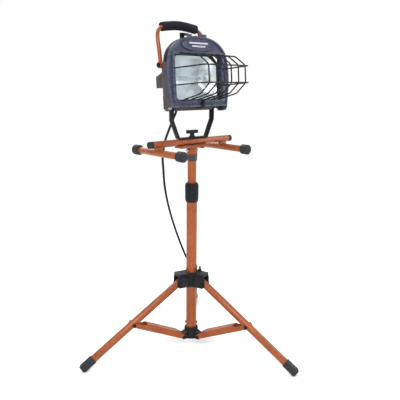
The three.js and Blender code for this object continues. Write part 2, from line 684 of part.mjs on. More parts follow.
function socket(side) {
  const [near, far] = [side * 51, side * 69.5];
  const block = box(Math.min(near, far), Math.max(near, far), LAMP_Y - 8, LAMP_Y + 8, 71, 87);
  const mouth = box(Math.min(near, side * 57) - 0.1, Math.max(near, side * 57) + 0.1, LAMP_Y - 4,
    LAMP_Y + 4, OPENING_Z - 1.9, OPENING_Z + 1.9);
  return cut(block, mouth);
}

const BOX_FRONT = HOUSING_BACK + GAP;
const GLAND_X = 4;
const GLAND_Y = 60;

function boxSection(inset) {
  return [[BOX_FRONT + inset, 56 + inset], [BOX_BACK + inset * 3, 56 + inset],
    [BOX_BACK + inset * 3, 88 - inset], [BOX_FRONT + inset, 101 - inset]];
}

function crosswise(section, half) {
  const stand = new THREE.Matrix4().set(0, 0, 1, 0, 1, 0, 0, 0, 0, 1, 0, 0, 0, 0, 0, 1);
  return slab(polygon(section), half * 2).translate(0, 0, -half).applyMatrix4(stand);
}

function junctionBox() {
  const outlet = rod(CORD_DIAMETER / 2 + 1, [GLAND_X, GLAND_Y, 50], [GLAND_X, GLAND_Y, 62], 20);
  const inlet = rod(5, [0, 40, 79], [0, 47, 79], 16);
  return cut(crosswise(boxSection(0), 60), crosswise(boxSection(2.5), 57.5), outlet, inlet);
}

function boxCover() {
  const plate = box(-60, 60, BOX_BACK + GAP, BOX_BACK + 3.2, 56, 88);
  const heads = [-1, 1].map((side) => rod(3.4, [side * 52, BOX_BACK + 3, 72],
    [side * 52, BOX_BACK + 4.6, 72], 12));
  return join(plate, ...heads);
}

function terminalBlock() {
  const block = box(-20, 20, 64, 76, 68, 80);
  const slots = [-10, 0, 10].map((x) => box(x - 1, x + 1, 60, 80, 76, 84));
  return cut(block, ...slots);
}

function gland() {
  const top = 56 - GAP;
  const bore = CORD_DIAMETER / 2 + GAP;
  const profile = [[bore, top], [9, top], [9, top - 5], [8, top - 6], [8, top - 12], [6, top - 16],
    [bore, top - 16]];
  return turned(profile, 20).translate(GLAND_X, GLAND_Y, 0);
}

function handlePath() {
  const side = [[88, 21, 112], [88, 22, 128], [87.5, 25, 156], [85.5, 31, 184], [79, 37, 204],
    [67, 40, 215.5], [52, 41, 220]];
  const mirrored = side.slice().reverse().map(([x, y, z]) => [-x, y, z]);
  return smooth([...side, [0, 42, 225], ...mirrored]);
}

function handleRod() {
  const pieces = [sweep(handlePath(), HANDLE_ROD / 2, 36, 8)];
  const bores = [];
  for (const side of [-1, 1]) {
    pieces.push(rod(9, [side * 82.2, 21, 114], [side * 93.9, 21, 114], 20));
    bores.push(rod(2.5 + GAP, [side * 78, 21, 114], [side * 99, 21, 114], 12));
  }
  return cut(join(...pieces), ...bores);
}

// Foam sleeve over the bar of the handle.
function handleGrip() {
  const path = handlePath();
  const middle = [];
  for (let i = 0; i <= 10; i += 1) {
    const x = GRIP_LENGTH / 2 - i * GRIP_LENGTH / 10;
    middle.push(pointAtX(path, x));
  }
  const curve = new THREE.CatmullRomCurve3(middle);
  const inner = sweep(handlePath(), HANDLE_ROD / 2 + GAP, 36, 8);
  return cut(sweep(curve, GRIP_DIAMETER / 2, 12, 14), inner);
}

function pointAtX(path, x) {
  let [low, high] = [0.2, 0.8];
  for (let i = 0; i < 24; i += 1) {
    const middle = (low + high) / 2;
    if (path.getPoint(middle).x > x) {
      low = middle;
    } else {
      high = middle;
    }
  }
  return path.getPoint(low);
}

function handleScrew(side) {
  const shaft = rod(2.5, [side * 66, 21, 114], [side * 96, 21, 114], 12);
  return join(shaft, rod(6.5, [side * 94.3, 21, 114], [side * 98.2, 21, 114], 16));
}

function doorFrame() {
  const plate = upright(archShape(0, -1), FRONT_Y + 3, FRONT_Y + 7, 4);
  const lip = cut(upright(archShape(0, -1), FRONT_Y, FRONT_Y + 5, 4),
    upright(archShape(4.5, 3), FRONT_Y - 1, FRONT_Y + 8, 4));
  const bezel = openingBlock(OPENING_WIDTH + 16, OPENING_HEIGHT + 16, FRONT_Y, DOOR_BACK);
  const pieces = [plate, lip, bezel];
  const bores = [openingBlock(OPENING_WIDTH, OPENING_HEIGHT, FRONT_Y - 2, DOOR_BACK + 2),
    openingBlock(OPENING_WIDTH + 8, OPENING_HEIGHT + 8, FRONT_Y + 14, DOOR_BACK + 2)];
  for (const side of [-1, 1]) {
    pieces.push(knuckle(side * 20, side * 34, FRONT_Y + 4, FRONT_Y + 7));
    pieces.push(box(side * 20, side * 34, FRONT_Y + 4, HINGE_Y, HINGE_Z - 4, HINGE_Z - 1));
    bores.push(rod(1.8 + GAP, [side * 19, HINGE_Y, HINGE_Z], [side * 35, HINGE_Y, HINGE_Z], 12));
  }
  return cut(join(...pieces), ...bores);
}

function glass() {
  const back = DOOR_BACK - 0.25;
  return openingBlock(OPENING_WIDTH + 7, OPENING_HEIGHT + 7, back - 4, back);
}

function gasket() {
  const front = FRONT_Y + 14 + GAP;
  const ring = openingBlock(OPENING_WIDTH + 7, OPENING_HEIGHT + 7, front, DOOR_BACK - 4.6);
  return cut(ring, openingBlock(OPENING_WIDTH - 1, OPENING_HEIGHT - 1, front - 1, DOOR_BACK));
}

// Wire cage: upright hoops tied together by two long wires.
function guard() {
  const radius = GUARD_WIRE / 2;
  const face = FRONT_Y - GAP * 2;
  const nose = FRONT_Y - GUARD_DEPTH;
  const wires = GUARD_X.map((x) => bentWire([[x, face, OPENING_Z + 62], [x, -50, OPENING_Z + 59],
    [x, FRONT_Y - 71, OPENING_Z + 48.7], [x, nose, OPENING_Z + 23], [x, nose, OPENING_Z - 23],
    [x, FRONT_Y - 71, OPENING_Z - 48.7], [x, -50, OPENING_Z - 59], [x, face, OPENING_Z - 62]],
  new THREE.Vector3(1, 0, 0), radius));
  for (const height of [-22, 22]) {
    const z = OPENING_Z + height;
    wires.push(bentWire([[-90, face, z], [-80, nose, z], [80, nose, z], [90, face, z]],
      new THREE.Vector3(0, 0, 1), radius));
  }
  return join(...wires);
}

// Plain oval plate with a raised edge and two raised bars.
function badge() {
  const oval = new THREE.Shape();
  oval.absellipse(0, 0, 61, 17, 0, Math.PI * 2);
  const dish = new THREE.Shape();
  dish.absellipse(0, 0, 58, 14.4, 0, Math.PI * 2);
  const back = FRONT_Y + 3 - GAP;
  const plate = upright(oval, back - 3, back, 10);
  const well = upright(dish, back - 4, back - 2, 10);
  const bars = [box(-34, 34, back - 3, back - 1.5, 2, 6.5), box(-24, 24, back - 3, back - 1.5, -6, -2)];
  return join(cut(plate, well), ...bars).translate(0, 0, 163.5);
}

function latch() {
  const front = FRONT_Y - GAP;
  const clip = box(0, 11, front - 3, front, -4.5, 17);
  const hook = box(0, 11, front - 3, -15, -4.5, -1.5);
  const ear = box(2, 9, front - 6, front - 2, 8, 14);
  return join(clip, hook, ear);
}

// ---- lead: written as sideways, depth and height, with depth running straight back behind the mast ----

function behind(sideways, depth, z) {
  return [sideways * BEHIND.y + depth * BEHIND.x, depth * BEHIND.y - sideways * BEHIND.x, z];
}

const LEAD = [[-40.9, 50.1, 784.7], [-40.7, 49.8, 781.1], [-39.6, 48.7, 761.2], [-42.5, 47.6, 740], [-47.9, 46, 712.6], [-55.1, 44, 695.4],
  [-65.8, 40, 668], [-79.7, 34, 629.3], [-84.3, 30, 603.3], [-87, 30, 580], [-84.7, 30, 544],
  [-82, 34, 498], [-73.1, 42, 441], [-58.8, 52, 382], [-41.6, 64, 324.4], [-20.1, 78, 262.8],
  [-8, 90, 240], [-2, 106, 233], [0, 124, 240], [0, 134, 262], [0, 137, 320], [0, 128, 370],
  [-1, 104, 410], [-3, 84, 440], [-5, 74, 478]];

function cordTube() {
  const path = smooth(LEAD.map(([sideways, depth, z]) => behind(sideways, depth, z)));
  return sweep(path, CORD_DIAMETER / 2, 52, 6);
}

function hankLoop(sideways) {
  const radius = 21;
  const centre = 46.5;
  const points = [];
  for (let i = 0; i < 8; i += 1) {
    const angle = Math.PI * i / 7;
    points.push([centre + radius * Math.cos(angle), HANK_TOP - 24.5 + radius * Math.sin(angle)]);
  }
  for (let i = 0; i < 8; i += 1) {
    const angle = Math.PI + Math.PI * i / 7;
    points.push([centre + radius * Math.cos(angle), HANK_BOTTOM + 24.5 + radius * Math.sin(angle)]);
  }
  const through = points.map(([depth, z]) => new THREE.Vector3(...behind(sideways, depth, z)));
  const path = new THREE.CatmullRomCurve3(through, true, 'catmullrom', 0.5);
  return new THREE.TubeGeometry(path, 24, CORD_DIAMETER / 2, 8, true);
}

function cordHank() {
  return join(...[-6, 0, 6].map((sideways) => hankLoop(sideways)));
}

// Hook-and-loop strap round the hank and the upper tube.
function cordTie() {
  const inner = UPPER_TUBE_DIAMETER / 2 + GAP;
  const outline = (grow) => {
    const shape = new THREE.Shape();
    shape.absarc(0, 0, inner + grow, Math.PI / 2, Math.PI * 1.5);
    shape.lineTo(71.5 + grow, -inner - grow);
    shape.lineTo(71.5 + grow, inner + grow);
    return shape;
  };
  const band = cut(slab(outline(2), 16, 12), slab(outline(0), 20, 12).translate(0, 0, -2));
  const turn = Math.atan2(BEHIND.y, BEHIND.x);
  return band.rotateZ(turn).translate(0, 0, 578);
}

// Moulded plug hanging from the hank.
function plug() {
  const body = slab(roundedShape(24, 20, 7), 32).translate(0, 0, 473);
  const relief = turned([[0, 504], [8, 504], [5, 520], [4.6, 530], [0, 530]], 16);
  const blades = [-6.3, 6.3].map((x) => box(x - 0.8, x + 0.8, -3.2, 3.2, 456, 474));
  const earth = rod(2.4, [0, 7, 453], [0, 7, 474], 12);
  const turn = Math.atan2(BEHIND.y, BEHIND.x) - Math.PI / 2;
  const [x, y] = behind(0, PLUG_DEPTH, 0);
  const tail = smooth([[PLUG_DEPTH, 526], [PLUG_DEPTH, 545], [106.7, 555.5], [99, 563.4], [88.5, 566.5],
    [79, 564]].map(([depth, z]) => behind(0, depth, z)));
  const moulding = join(body, relief, ...blades, earth).rotateZ(turn).translate(x, y, 0);
  return join(moulding, sweep(tail, CORD_DIAMETER / 2, 14, 6));
}

// ---- assembly ----

function buildMast(group) {
  add(group, 'lower_tube', lowerTube(), COPPER);
  add(group, 'hub_pin', mastPin(18.9), BLACK);
  add(group, 'lower_hub', lowerHub(), BLACK);
  add(group, 'collar_base', collarBase(), BLACK);
  add(group, 'collar_ring', collarRing(), BLACK);
  add(group, 'bushing', bushing(), CAP);
  add(group, 'upper_tube', upperTube(), COPPER);
  add(group, 'mast_plate', mastPlate(), COPPER);
  add(group, 'cross_bolt', crossBolt(), STEEL);
}

function buildTripod(group) {
  add(group, 'upper_hub', upperHub(), BLACK);
  add(group, 'lock_lever', lockLever(), BLACK);
  LEG_ANGLES.forEach((angle, i) => {
    const name = ['front', 'rear', 'left'][i];
    add(group, `leg_${name}`, spin(legTube(), angle), COPPER);
    add(group, `leg_cap_${name}`, spin(legCap(), angle), CAP);
    add(group, `brace_${name}`, spin(brace(), angle), COPPER);
  });
}

function buildCrossbar(group) {
  add(group, 'crossbar', crossbar(), COPPER);
  for (const [side, label] of [[-1, 'left'], [1, 'right']]) {
    add(group, `bar_plug_${label}`, barPlug(side), CAP);
    add(group, `foot_${label}`, foot(side), COPPER);
    add(group, `foot_cap_${label}_front`, footCap(side, -1), CAP);
    add(group, `foot_cap_${label}_back`, footCap(side, 1), CAP);
  }
  add(group, 'yoke', yoke(), BLACK);
  add(group, 'clamp_knob', tKnob(), BLACK);
  add(group, 'tilt_knob', tiltKnob(), BLACK);
  add(group, 'pivot_bolt', pivotBolt(), STEEL);
}

function buildHead(group) {
  add(group, 'housing', housing(), CAST);
  add(group, 'housing_rim', housingRim(), BLACK);
  add(group, 'reflector', reflector(), MIRROR);
  add(group, 'lamp_tube', lampTube(), GLASS);
  add(group, 'socket_left', socket(-1), CERAMIC);
  add(group, 'socket_right', socket(1), CERAMIC);
  add(group, 'junction_box', junctionBox(), CAST);
  add(group, 'box_cover', boxCover(), CAST);
  add(group, 'terminal_block', terminalBlock(), CERAMIC);
  add(group, 'gland', gland(), BLACK);
  add(group, 'handle_rod', handleRod(), COPPER);
  add(group, 'handle_grip', handleGrip(), RUBBER);
  add(group, 'handle_screw_left', handleScrew(-1), BLACK);
  add(group, 'handle_screw_right', handleScrew(1), BLACK);
  add(group, 'door_frame', doorFrame(), SLATE);
  add(group, 'glass', glass(), GLASS);
  add(group, 'gasket', gasket(), RUBBER);
  add(group, 'guard', guard(), BLACK);
  add(group, 'badge', badge(), STEEL);
  add(group, 'latch', latch(), BLACK);
}

function buildLead(group) {
  add(group, 'cord_tube', cordTube(), RUBBER);
  add(group, 'cord_hank', cordHank(), RUBBER);
  add(group, 'cord_tie', cordTie(), BLACK);
  add(group, 'plug', plug(), RUBBER);
}

function build() {
  const whole = new THREE.Group();
  const stand = new THREE.Group();
  buildMast(stand);
  buildTripod(stand);
  buildCrossbar(stand);
  const head = new THREE.Group();
  buildHead(head);
  head.rotateX(THREE.MathUtils.degToRad(TILT_REST));
  head.position.set(0, 0, TILT_Z);
  stand.add(head);
  stand.updateMatrixWorld(true);
  const middle = new THREE.Box3().setFromObject(stand, true).getCenter(new THREE.Vector3());
  const lead = new THREE.Group();
  buildLead(lead);
  whole.add(stand, lead);
  for (const part of [stand, lead]) {
    part.position.set(-middle.x, -middle.y, 0);
  }
  return whole;
}

export default build();
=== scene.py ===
import math

import json

import bpy
from mathutils import Matrix, Vector


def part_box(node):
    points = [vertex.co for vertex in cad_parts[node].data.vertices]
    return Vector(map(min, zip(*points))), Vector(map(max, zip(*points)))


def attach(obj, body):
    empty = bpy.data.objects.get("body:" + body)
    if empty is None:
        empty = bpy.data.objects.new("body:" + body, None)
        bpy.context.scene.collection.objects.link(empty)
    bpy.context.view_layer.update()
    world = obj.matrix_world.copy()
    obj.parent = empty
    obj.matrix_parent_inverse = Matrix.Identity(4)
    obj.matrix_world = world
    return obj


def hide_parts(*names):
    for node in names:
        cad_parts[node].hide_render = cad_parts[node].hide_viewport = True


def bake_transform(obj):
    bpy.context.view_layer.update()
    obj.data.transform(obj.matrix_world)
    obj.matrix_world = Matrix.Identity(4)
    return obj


# Frame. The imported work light: every node of the stand, the head and the lead,
# in metres, with the floor at z = 0 and the lamp looking along -Y.
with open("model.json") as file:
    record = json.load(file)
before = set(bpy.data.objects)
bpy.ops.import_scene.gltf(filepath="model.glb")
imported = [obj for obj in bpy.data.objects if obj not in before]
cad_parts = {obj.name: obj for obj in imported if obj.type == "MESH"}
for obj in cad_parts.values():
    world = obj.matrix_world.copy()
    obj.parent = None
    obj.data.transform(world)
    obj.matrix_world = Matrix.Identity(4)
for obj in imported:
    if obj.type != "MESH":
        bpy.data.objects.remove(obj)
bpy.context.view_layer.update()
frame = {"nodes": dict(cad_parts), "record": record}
bpy.ops.object.select_all(action="DESELECT")
record = frame["record"]
body_of_node = {}
for body_name, node_names in record["behaviour"]["bodies"].items():
    for node_name in node_names:
        body_of_node[node_name] = body_name
slot_of_node = {entry["node"]: entry["material_slot"] for entry in record["subparts"]}


def middle(node):
    low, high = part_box(node)
    return (Vector(low) + Vector(high)) / 2


MM = 0.001
mast = Vector((middle("lower_tube").x, middle("lower_tube").y, 0))
TILT_HEIGHT = 730
HEAD_TILT = math.radians(-4.5)


def place(x, y, z):
    """A point of the stand in millimetres from the foot of the mast."""
    return mast + Vector((x, y, z)) * MM


def on_head(x, y, z):
    """A point of the lamp head in millimetres from its tilt axis, with the head's lean."""
    turned = Matrix.Rotation(HEAD_TILT, 3, "X") @ Vector((x, y, z))
    return place(turned.x, turned.y, turned.z + TILT_HEIGHT)


# Camera, light and floor. A pale sweep under plain soft light from above left,
# with the camera at head height, off the front left corner of the stand.
camera_data = bpy.data.cameras.new("camera")
camera_data.lens = 46.8
camera_data.sensor_width = 36
camera = bpy.data.objects.new("camera", camera_data)
bpy.context.collection.objects.link(camera)
camera.location = place(-991.3, -1107.1, 801.1)
aim = Matrix.Rotation(math.radians(-42.77), 4, "Z") @ Matrix.Rotation(math.radians(77.1), 4, "X")
aim = aim @ Matrix.Rotation(math.radians(0.5), 4, "Z")
camera.rotation_euler = aim.to_euler()
bpy.context.scene.camera = camera

world = bpy.data.worlds.new("studio")
world.use_nodes = True
world.node_tree.nodes["Background"].inputs["Color"].default_value = (1, 1, 1, 1)
world.node_tree.nodes["Background"].inputs["Strength"].default_value = 1.0
bpy.context.scene.world = world
bpy.context.scene.view_settings.view_transform = "Standard"


def soft_light(name, spot, size, power):
    data = bpy.data.lights.new(name, "AREA")
    data.size = size
    data.energy = power
    lamp = bpy.data.objects.new(name, data)
    bpy.context.collection.objects.link(lamp)
    lamp.location = spot
    direction = place(0, 0, 500) - Vector(spot)
    lamp.rotation_euler = direction.to_track_quat("-Z", "Y").to_euler()


soft_light("key_light", (-1.6, -1.4, 2.2), 0.6, 44)
soft_light("fill_light", (1.9, -0.8, 1.3), 1.2, 14)
soft_light("back_light", (0.6, 2.0, 1.9), 1.0, 22)

bpy.ops.mesh.primitive_plane_add(size=80, location=(0, 0, -0.0005))
floor = bpy.context.object
floor.name = "floor"
floor_paint = bpy.data.materials.new("floor_paint")
floor_paint.use_nodes = True
floor_shader = floor_paint.node_tree.nodes["Principled BSDF"]
floor_shader.inputs["Base Color"].default_value = (1, 1, 1, 1)
floor_shader.inputs["Specular IOR Level"].default_value = 0.0
floor_shader.inputs["Roughness"].default_value = 1.0
floor.data.materials.append(floor_paint)


# Finishes. Paint, moulding and rubber share one effect: fine grain in the surface,
# cloudy colour, bare or polished edges and a little dust on what faces up.
def new_group(name, inputs, outputs):
    group = bpy.data.node_groups.new(name, "ShaderNodeTree")
    for socket, kind, value in inputs:
        made = group.interface.new_socket(name=socket, in_out="INPUT", socket_type=kind)
        made.default_value = value
    for socket, kind in outputs:
        group.interface.new_socket(name=socket, in_out="OUTPUT", socket_type=kind)
    return group, group.nodes.new("NodeGroupInput"), group.nodes.new("NodeGroupOutput")


COLOUR = "NodeSocketColor"
FLOAT = "NodeSocketFloat"
surface, given, result = new_group(
    "surface_wear",
    [("Colour", COLOUR, (0.5, 0.5, 0.5, 1)), ("Deep Colour", COLOUR, (0.3, 0.3, 0.3, 1)),
     ("Edge Colour", COLOUR, (0.8, 0.8, 0.8, 1)), ("Cloud", FLOAT, 0.5), ("Grain Size", FLOAT, 900.0),
     ("Edge Wear", FLOAT, 0.3), ("Dust", FLOAT, 0.1), ("Roughness", FLOAT, 0.5)],
    [("Colour", COLOUR), ("Roughness", FLOAT), ("Height", FLOAT)])


def node(tree, kind, **settings):
    made = tree.nodes.new(kind)
    for key, value in settings.items():
        setattr(made, key, value)
    return made


def mix_colour(tree, factor, first, second):
    made = node(tree, "ShaderNodeMix", data_type="RGBA")
    tree.links.new(factor, made.inputs[0])
    tree.links.new(first, made.inputs[6])
    tree.links.new(second, made.inputs[7])
    return made.outputs[2]


def maths(tree, operation, first, second):
    made = node(tree, "ShaderNodeMath", operation=operation)
    made.use_clamp = operation == "MULTIPLY"
    for socket, value in zip(made.inputs, (first, second)):
        if isinstance(value, (int, float)):
            socket.default_value = value
        else:
            tree.links.new(value, socket)
    return made.outputs[0]


def ramp(tree, value, low, high):
    made = node(tree, "ShaderNodeMapRange")
    tree.links.new(value, made.inputs["Value"])
    made.inputs["From Min"].default_value = low
    made.inputs["From Max"].default_value = high
    return made.outputs["Result"]


where = node(surface, "ShaderNodeTexCoord")
form = node(surface, "ShaderNodeNewGeometry")
cloud = node(surface, "ShaderNodeTexNoise")
cloud.inputs["Scale"].default_value = 18
cloud.inputs["Detail"].default_value = 5
grain = node(surface, "ShaderNodeTexNoise")
grain.inputs["Detail"].default_value = 3
scratch = node(surface, "ShaderNodeTexNoise")
scratch.inputs["Scale"].default_value = 140
scratch.inputs["Detail"].default_value = 6
for texture in (cloud, grain, scratch):
    surface.links.new(where.outputs["Object"], texture.inputs["Vector"])
surface.links.new(given.outputs["Grain Size"], grain.inputs["Scale"])
cloudy = maths(surface, "MULTIPLY", ramp(surface, cloud.outputs["Fac"], 0.35, 0.7), given.outputs["Cloud"])
base = mix_colour(surface, cloudy, given.outputs["Colour"], given.outputs["Deep Colour"])
rim = ramp(surface, form.outputs["Pointiness"], 0.53, 0.6)
rubbed = maths(surface, "MULTIPLY", rim, ramp(surface, scratch.outputs["Fac"], 0.42, 0.6))
rubbed = maths(surface, "MULTIPLY", rubbed, given.outputs["Edge Wear"])
base = mix_colour(surface, rubbed, base, given.outputs["Edge Colour"])
split = node(surface, "ShaderNodeSeparateXYZ")
surface.links.new(form.outputs["Normal"], split.inputs[0])
dusty = maths(surface, "MULTIPLY", ramp(surface, split.outputs["Z"], 0.55, 1.0), given.outputs["Dust"])
dusty = maths(surface, "MULTIPLY", dusty, ramp(surface, cloud.outputs["Fac"], 0.25, 0.65))
dust_colour = node(surface, "ShaderNodeRGB")
dust_colour.outputs[0].default_value = (0.55, 0.53, 0.5, 1)
base = mix_colour(surface, dusty, base, dust_colour.outputs[0])
rough = maths(surface, "ADD", given.outputs["Roughness"], maths(surface, "MULTIPLY", dusty, 0.3))
rough = maths(surface, "ADD", rough, maths(surface, "MULTIPLY", cloudy, 0.12))
surface.links.new(base, result.inputs["Colour"])
surface.links.new(rough, result.inputs["Roughness"])
surface.links.new(grain.outputs["Fac"], result.inputs["Height"])


def finish(name, colour, deep, edge, rough_value, grain_size, bump, cloud_amount=0.5, edge_wear=0.3,
           dust=0.12, metallic=0.0, coat=0.0, specular=0.5):
    """A worn surface: the shared effect, with this finish's own colours and sizes."""
    material = bpy.data.materials.new(name)
    material.use_nodes = True
    tree = material.node_tree
    shader = tree.nodes["Principled BSDF"]
    worn = node(tree, "ShaderNodeGroup", node_tree=surface)
    worn.inputs["Colour"].default_value = (*colour, 1)
    worn.inputs["Deep Colour"].default_value = (*deep, 1)
    worn.inputs["Edge Colour"].default_value = (*edge, 1)
    for key, value in (("Cloud", cloud_amount), ("Grain Size", grain_size), ("Edge Wear", edge_wear),
                       ("Dust", dust), ("Roughness", rough_value)):
        worn.inputs[key].default_value = value
    relief = node(tree, "ShaderNodeBump")
    relief.inputs["Strength"].default_value = bump
    relief.inputs["Distance"].default_value = 0.0004
    tree.links.new(worn.outputs["Colour"], shader.inputs["Base Color"])
    tree.links.new(worn.outputs["Roughness"], shader.inputs["Roughness"])
    tree.links.new(worn.outputs["Height"], relief.inputs["Height"])
    tree.links.new(relief.outputs["Normal"], shader.inputs["Normal"])
    shader.inputs["Metallic"].default_value = metallic
    shader.inputs["Coat Weight"].default_value = coat
    shader.inputs["Coat Roughness"].default_value = 0.15
    shader.inputs["Specular IOR Level"].default_value = specular
    return material


# Lead. A 7 mm black rubber mains lead, about a metre and a half: out of the gland, down
# past the crossbar in one long bow behind the mast, up into a tied hank, and a moulded plug.
lead_rubber = finish("lead_rubber", (0.006, 0.006, 0.007), (0.011, 0.011, 0.012), (0.03, 0.03, 0.03),
                     0.45, 1400, 0.15, edge_wear=0.0, dust=0.08, specular=0.25)
CORD_DIAMETER = 7
BEHIND = (0.679, 0.734)
lead_route = [
    (-40.9, 50.1, 784.7), (-40.7, 49.8, 781.1), (-39.6, 48.7, 761.2), (-42.5, 47.6, 740),
    (-47.9, 46, 712.6), (-55.1, 44, 695.4), (-65.8, 40, 668), (-79.7, 34, 629.3), (-84.3, 30, 603.3),
    (-87, 30, 580), (-84.7, 30, 544), (-82, 34, 498), (-73.1, 42, 441), (-58.8, 52, 382),
    (-41.6, 64, 324.4), (-20.1, 78, 262.8), (-8, 90, 240), (-2, 106, 233), (0, 124, 240),
    (0, 134, 262), (0, 137, 320), (0, 128, 370), (-1, 104, 410), (-3, 84, 440), (-5, 74, 478),
]
HANK_DEPTH = 46.5
HANK_RADIUS = 21
HANK_LOW = 530.5
HANK_HIGH = 587.5
HANK_PITCH = 7.1


def behind(sideways, depth, height):
    """A point by its sideways shift, its depth behind the mast and its height, in millimetres."""
    return place(sideways * BEHIND[1] + depth * BEHIND[0], depth * BEHIND[1] - sideways * BEHIND[0], height)


def hank_turn(number):
    """One turn: up the far run, over the top, down the near run and round the bottom."""
    points = []
    for height in (HANK_LOW, 549, 568, HANK_HIGH):
        points.append((HANK_DEPTH + HANK_RADIUS, height))
    for step in range(1, 6):
        angle = math.pi * step / 6
        points.append((HANK_DEPTH + HANK_RADIUS * math.cos(angle),
                       HANK_HIGH + HANK_RADIUS * math.sin(angle)))
    for height in (HANK_HIGH, 568, 549, HANK_LOW):
        points.append((HANK_DEPTH - HANK_RADIUS, height))
    for step in range(1, 6):
        angle = math.pi + math.pi * step / 6
        points.append((HANK_DEPTH + HANK_RADIUS * math.cos(angle),
                       HANK_LOW + HANK_RADIUS * math.sin(angle)))
    count = len(points)
    return [((number - 1 + i / count) * HANK_PITCH, depth, height)
            for i, (depth, height) in enumerate(points)]


for number in range(2):
    lead_route += hank_turn(number)
lead_route += [(7.1, 67.5, 530.5), (7.1, 67.5, 545), (6, 70.3, 555.5), (3.6, 78, 563.5), (1.5, 88.5, 566.5),
               (0.3, 99, 563.4), (0, 106.7, 555.5), (0, 109.5, 545), (0, 109.5, 528)]


def smooth_points(points, steps):
    """Catmull-Rom curve through the points."""
    ends = [points[0] * 2 - points[1], *points, points[-1] * 2 - points[-2]]
    line = []
    for i in range(1, len(ends) - 2):
        a, b, c, d = ends[i - 1:i + 3]
        for step in range(steps):
            t = step / steps
            line.append(0.5 * (2 * b + (c - a) * t + (2 * a - 5 * b + 4 * c - d) * t * t
                               + (3 * b - a - 3 * c + d) * t ** 3))
    line.append(points[-1])
    return line


def tube_along(name, points, radius, material, sides=6, closed=False):
    """A round wire or cord through the points, as a closed mesh."""
    data = bpy.data.curves.new(name, "CURVE")
    data.dimensions = "3D"
    data.bevel_depth = radius
    data.bevel_resolution = sides
    data.use_fill_caps = True
    spline = data.splines.new("POLY")
    spline.points.add(len(points) - 1)
    for spot, point in zip(spline.points, points):
        spot.co = (*point, 1)
    spline.use_cyclic_u = closed
    bpy.ops.object.select_all(action="DESELECT")
    wire = bpy.data.objects.new(name, data)
    bpy.context.collection.objects.link(wire)
    bpy.context.view_layer.objects.active = wire
    wire.select_set(True)
    bpy.ops.object.convert(target="MESH")
    made = bpy.context.object
    tidy_mesh(made)
    made.data.materials.clear()
    made.data.materials.append(material)
    bpy.ops.object.shade_smooth_by_angle(angle=math.radians(50))
    return made


def tidy_mesh(piece):
    """Merges doubled points and turns every face outwards."""
    bpy.ops.object.select_all(action="DESELECT")
    bpy.context.view_layer.objects.active = piece
    piece.select_set(True)
    bpy.ops.object.mode_set(mode="EDIT")
    bpy.ops.mesh.select_all(action="SELECT")
    bpy.ops.mesh.remove_doubles(threshold=1e-6)
    bpy.ops.mesh.normals_make_consistent(inside=False)
    bpy.ops.object.mode_set(mode="OBJECT")


def belongs(piece, body, slot, *nodes):
    """Rides on its body and stands for its nodes; its slot is not used."""
    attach(piece, body)
    if nodes:
        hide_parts(*nodes)
    return piece


lead_line = smooth_points([behind(*point) for point in lead_route], 4)
lead = tube_along("mains_lead", lead_line, CORD_DIAMETER / 2 * MM, lead_rubber, sides=5)
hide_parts("cord_tube", "cord_hank")
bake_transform(lead)

# Plug. A moulded rubber plug on the free end: grip ridges round a rounded body and a tapered
# relief, two flat blades (brass on the real plug) and a round earth pin, hanging prongs down; the whole
# plug takes the lead's rubber finish.
def copy_of(node_name, name, material, bevel=0.0, angle=40, segments=2):
    """The CAD node's own shape, merged, with its hard edges rounded and its round sides smooth."""
    piece = bpy.data.objects.new(name, frame["nodes"][node_name].data.copy())
    bpy.context.collection.objects.link(piece)
    bpy.ops.object.select_all(action="DESELECT")
    bpy.context.view_layer.objects.active = piece
    piece.select_set(True)
    bpy.ops.object.mode_set(mode="EDIT")
    bpy.ops.mesh.select_all(action="SELECT")
    bpy.ops.mesh.remove_doubles(threshold=2e-6)
    bpy.ops.mesh.dissolve_limited(angle_limit=math.radians(0.6))
    bpy.ops.object.mode_set(mode="OBJECT")
    piece.data.materials.clear()
    piece.data.materials.append(material)
    if bevel:
        rounding = piece.modifiers.new("rounding", "BEVEL")
        rounding.width = bevel
        rounding.segments = segments
        rounding.limit_method = "ANGLE"
        rounding.angle_limit = math.radians(angle)
        bpy.ops.object.modifier_apply(modifier=rounding.name)
    bpy.ops.object.shade_smooth_by_angle(angle=math.radians(angle))
    return belongs(piece, body_of_node[node_name], slot_of_node[node_name], node_name)


plug_piece = copy_of("plug", "moulded_plug", lead_rubber, bevel=0.0008)

# Strain relief. A tapered rubber sleeve with raised rings, from the gland down along the lead.
# It is moulded round the lead's first stretch and tilts with the head.
RELIEF_RINGS = 5
relief_start = behind(-40.8, 50.0, 783)
relief_way = behind(-39.6, 48.7, 762) - relief_start
relief_turn = relief_way.to_track_quat("Z", "Y").to_euler()
bpy.ops.mesh.primitive_cone_add(vertices=24, radius1=6.2 * MM, radius2=4.3 * MM, depth=relief_way.length,
                                location=relief_start + relief_way / 2, rotation=relief_turn)
relief = bpy.context.object
relief.name = "strain_relief"
rings = [relief]
for rib in range(RELIEF_RINGS):
    bpy.ops.mesh.primitive_torus_add(major_segments=24, minor_segments=8,
                                     major_radius=(5.6 - 0.35 * rib) * MM,
                                     minor_radius=1.1 * MM, rotation=relief_turn,
                                     location=relief_start + relief_way * (0.12 + 0.18 * rib))
    rings.append(bpy.context.object)
bpy.ops.object.select_all(action="DESELECT")
for piece in rings:
    piece.select_set(True)
bpy.context.view_layer.objects.active = relief
bpy.ops.object.join()
bpy.ops.object.transform_apply(location=True, rotation=True, scale=True)
relief.data.materials.append(lead_rubber)
bpy.ops.object.shade_smooth_by_angle(angle=math.radians(50))
belongs(relief, "head", "black_rubber")

